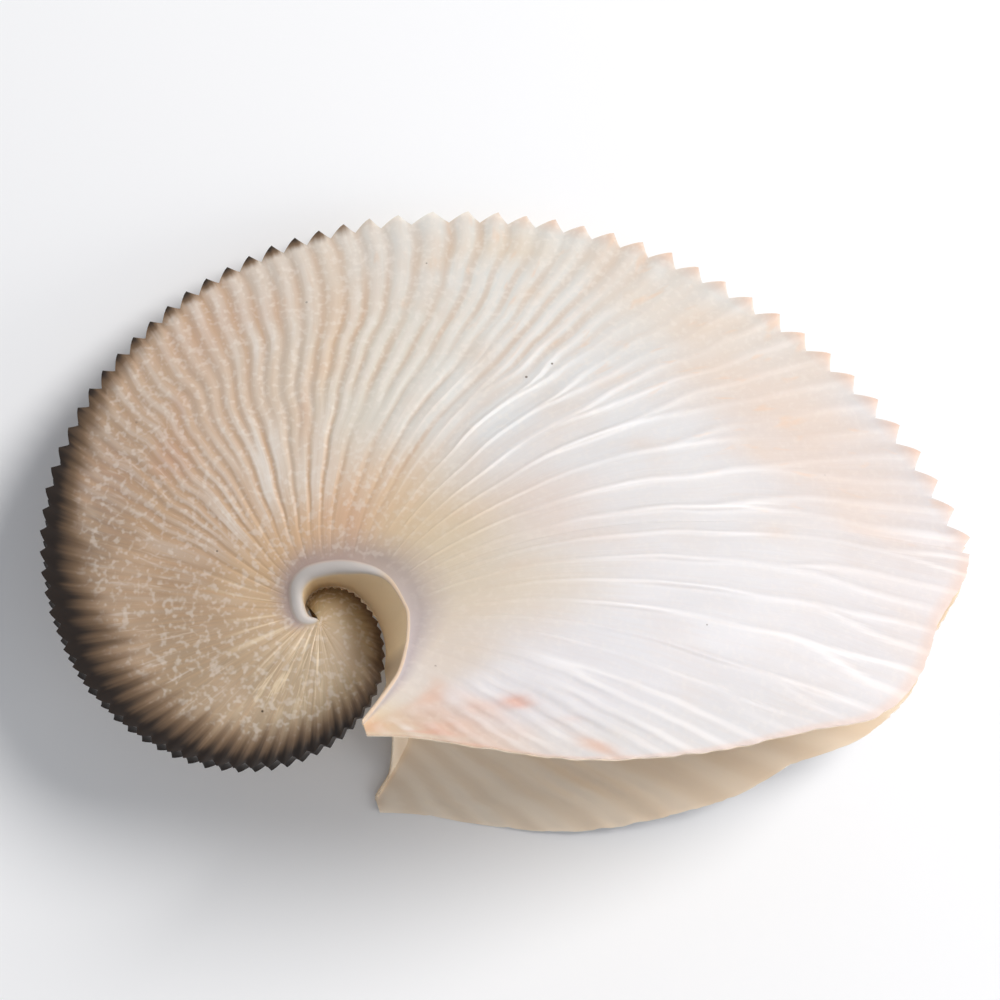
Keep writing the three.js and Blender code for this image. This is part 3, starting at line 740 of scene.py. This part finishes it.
def stain_depth(rib, growth, away, tooth):
    """How deep the stain from the keel is, 1 by the teeth; it runs further in along every rib."""
    dark, gone = along(STAIN, growth).T
    stripe = smooth(0.5 - np.abs((rib - 0.05) % 1 - 0.5), 0.1, 0.42) - 0.5
    ragged = 1 + 0.1 * waves(rib * 2.9, away * 0.2, "stain_edge")
    depth = (gone - away * ragged) / np.maximum(gone - dark, 0.5)
    tips = 1.1 * tooth * smooth(growth, 200, 225) * (1 - smooth(growth, 262, 282))
    depth = depth + 0.25 * stripe * smooth(away, 0.3, 3)
    return np.clip(np.maximum(depth, tips), 0, 1) * smooth(gone, 0, 0.4)


def linear(hex_colour):
    """sRGB hex colour as linear RGBA."""
    parts = [int(hex_colour[i:i + 2], 16) / 255 for i in (1, 3, 5)]
    return [p / 12.92 if p <= 0.04045 else ((p + 0.055) / 1.055) ** 2.4 for p in parts] + [1]


def add(tree, kind, settings, inputs, output=0):
    """Adds one node with its settings, sets or links its inputs, and gives back one of its outputs."""
    made = tree.nodes.new("ShaderNode" + kind)
    for name, value in settings.items():
        setattr(made, name, value)
    for key, value in inputs.items():
        if isinstance(value, bpy.types.NodeSocket):
            tree.links.new(value, made.inputs[key])
        else:
            made.inputs[key].default_value = value
    return made.outputs[output]


# Sizes of the soft clouds, the fine pits and the gaps between grains of sand, in millimetres
CLOUD_SIZE, PIT_SIZE, GRAIN_SPACING = 18.182, 1.4286, 8.3333
# Patterns of the material: where they are laid out, how wide and how long one mark is, and detail. A
# mark that follows the ribs is measured in ribs across and in millimetres along.
PATTERNS = {
    "lines": ("rib_place", 1 / 4, 16.667, 2),
    "scratches": ("rib_place", 5 / 12, 10, 2),
    "streaks": ("rib_place", 10 / 17, 8.3333, 2),
    "clouds": ("Object", CLOUD_SIZE * MM, CLOUD_SIZE * MM, 2),
    "pits": ("Object", PIT_SIZE * MM, PIT_SIZE * MM, 1),
}
# Depth of the growth lines, and how far light passes into the calcite, in millimetres
GROWTH_LINE_DEPTH, LIGHT_REACH = 0.06, 1.2
# Marks over the tone, in order: pattern, where it sets in and is full, field that it shows by, colour
MARKS = [
    ("lines", 0.4, 0.7, "lined", "#C9A680"),
    ("clouds", 0.45, 0.72, "clouded", "#D2B69C"),
    ("pits", 0.48, 0.72, "clouded", "#EBE3D9"),
    ("streaks", 0.58, 0.74, "streaked", "#E6BD98"),
    ("scratches", 0.56, 0.72, "scratched", "#E9DCD0"),
    # Cream flecks by the umbilicus, partly their own cream, partly a painted sheen.
    ("streaks", 0.5, 0.66, "cream_flecks_and_painted_sheen", "#EAD6B4"),
    ("soil", 0.0, 0.55, "stained", "#7A6149"),
    ("soil", 0.35, 0.95, "stained", "#20140A"),
    ("grit", 0.955, 0.975, "gritty", "#54422F"),
]


def surface_patterns(tree, place):
    """Noise in the material's patterns, the ragged stain and scattered grains of sand."""
    made = {}
    for name, (where, wide, long, detail) in PATTERNS.items():
        pace = (1 / wide, 1 / long, 1 / wide)
        spot = add(tree, "VectorMath", {"operation": "MULTIPLY"}, {0: place[where], 1: pace})
        noise = {"Vector": spot, "Scale": 1.0, "Detail": detail, "Roughness": 0.55}
        made[name] = add(tree, "TexNoise", {}, noise)
    stain = add(tree, "Attribute", {"attribute_type": "GEOMETRY", "attribute_name": "stain"}, {}, "Fac")
    made["soil"] = add(tree, "Math", {"operation": "MULTIPLY_ADD"}, {0: made["lines"], 1: 0.3, 2: stain})
    made["soil"] = add(tree, "Math", {"operation": "SUBTRACT"}, {0: made["soil"], 1: 0.15})
    spread = {"Vector": place["Object"], "Scale": 1 / (GRAIN_SPACING * MM)}
    grains = add(tree, "TexVoronoi", {"feature": "F1"}, spread)
    made["grit"] = add(tree, "Math", {"operation": "SUBTRACT"}, {0: 1.0, 1: grains})
    return made


def shell_material():
    """Calcite, secreted by the animal in thin sheets.

    To the eye it is satin, never shiny like porcelain. Light passes a little way in, so the crests
    look soft and the valleys warm; the tone also holds painted shade in the valleys, painted
    highlights on the crests, a painted sheen on cream flecks by the umbilicus and a painted glow on
    the umbilical wall and the lining. Growth lines, flecks and the dark deposit that creeps in from
    the keel keep it from being one even tone.
    """
    material = bpy.data.materials.new("secreted_calcite")
    material.use_nodes = True
    tree = material.node_tree
    shader = tree.nodes["Principled BSDF"]
    by_name = {"attribute_type": "GEOMETRY"}
    place = {
        "Object": add(tree, "TexCoord", {}, {}, "Object"),
        "rib_place": add(tree, "Attribute", {**by_name, "attribute_name": "rib_place"}, {}, "Vector"),
    }
    patterns = surface_patterns(tree, place)
    colour = add(tree, "Attribute", {**by_name, "attribute_name": "tone"}, {}, "Color")
    for pattern, low, high, field, hex_colour in MARKS:
        shown = add(tree, "Attribute", {**by_name, "attribute_name": field}, {}, "Fac")
        ends = {"Value": patterns[pattern], "From Min": low, "From Max": high, "To Max": shown}
        cover = add(tree, "MapRange", {"interpolation_type": "SMOOTHSTEP"}, ends)
        colour = add(tree, "Mix", {"data_type": "RGBA"}, {0: cover, 6: colour, 7: linear(hex_colour)}, 2)
    tree.links.new(colour, shader.inputs["Base Color"])
    shader.subsurface_method = "BURLEY"
    shader.inputs["Roughness"].default_value = 0.46
    shader.inputs["IOR"].default_value = 1.5
    shader.inputs["Subsurface Weight"].default_value = 0.6
    shader.inputs["Subsurface Radius"].default_value = (1.0, 0.85, 0.7)
    shader.inputs["Subsurface Scale"].default_value = LIGHT_REACH * MM
    relief = {0: patterns["pits"], 1: 0.5, 2: patterns["lines"]}
    height = add(tree, "Math", {"operation": "MULTIPLY_ADD"}, relief)
    bump = add(tree, "Bump", {}, {"Height": height, "Distance": GROWTH_LINE_DEPTH * MM, "Strength": 0.6})
    tree.links.new(bump, shader.inputs["Normal"])
    return material


def make_floor():
    """Pale seamless floor, well past the edges of every view.

    It is matt white board: the eye sees an even, nearly white ground with one soft shadow and no shine.
    """
    half = FLOOR_HALF
    corners = [(-half, -half, 0), (half, -half, 0), (half, half, 0), (-half, half, 0)]
    mesh = bpy.data.meshes.new("floor")
    mesh.from_pydata(corners, [], [(0, 1, 2, 3)])
    floor = bpy.data.objects.new("floor", mesh)
    bpy.context.scene.collection.objects.link(floor)
    material = bpy.data.materials.new("matt_white_board")
    material.use_nodes = True
    shader = material.node_tree.nodes["Principled BSDF"]
    shader.inputs["Base Color"].default_value = linear("#F9F9F9")
    shader.inputs["Roughness"].default_value = 0.9
    mesh.materials.append(material)


def add_light(name, place, target, size, power, colour):
    """Round soft light: where it hangs, what it faces, its breadth, its watts and its colour."""
    data = bpy.data.lights.new(name, "AREA")
    data.shape = "DISK"
    data.size = size
    data.energy = power
    data.color = linear(colour)[:3]
    light = bpy.data.objects.new(name, data)
    bpy.context.scene.collection.objects.link(light)
    light.location = place
    light.rotation_euler = (Vector(target) - Vector(place)).to_track_quat("-Z", "Y").to_euler()


def light_scene():
    """Large soft light from the open end's side, above the shell, and a bright even surround."""
    add_light("key", (0.93, 0.56, 1.18), (0, 0, 0), 0.7, 20.5, "#FFFDFC")
    add_light("fill", (1.1, -0.45, 0.45), (0, 0, 0), 0.8, 3.8, "#FFFEFD")
    world = bpy.data.worlds.new("studio")
    bpy.context.scene.world = world
    world.use_nodes = True
    world.node_tree.nodes["Background"].inputs["Color"].default_value = linear("#F3F7FE")
    world.node_tree.nodes["Background"].inputs["Strength"].default_value = 0.4


def add_camera():
    """Looks down on the shell as it lies, a little right of and above the coil's axis in the picture."""
    from_axis = Vector(CAMERA_FROM_AXIS) * MM
    turn = Matrix.Rotation(math.radians(LIE_ABOUT_Y), 4, "Y")
    data = bpy.data.cameras.new("camera")
    data.sensor_width = SENSOR_WIDTH
    data.lens = LENS
    data.clip_start, data.clip_end = 0.05, 50
    camera = bpy.data.objects.new("camera", data)
    axis = Matrix.Translation(Vector(COIL_AXIS) * MM)
    camera.matrix_world = axis @ turn @ Matrix.Translation(from_axis)
    bpy.context.scene.collection.objects.link(camera)
    bpy.context.scene.camera = camera


def main():
    add_camera()
    light_scene()
    make_floor()
    shell = make_shell()
    shell.data.materials.append(shell_material())
    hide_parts("shell")
    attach(shell, "root")
    bpy.context.scene.view_settings.view_transform = "Standard"


main()
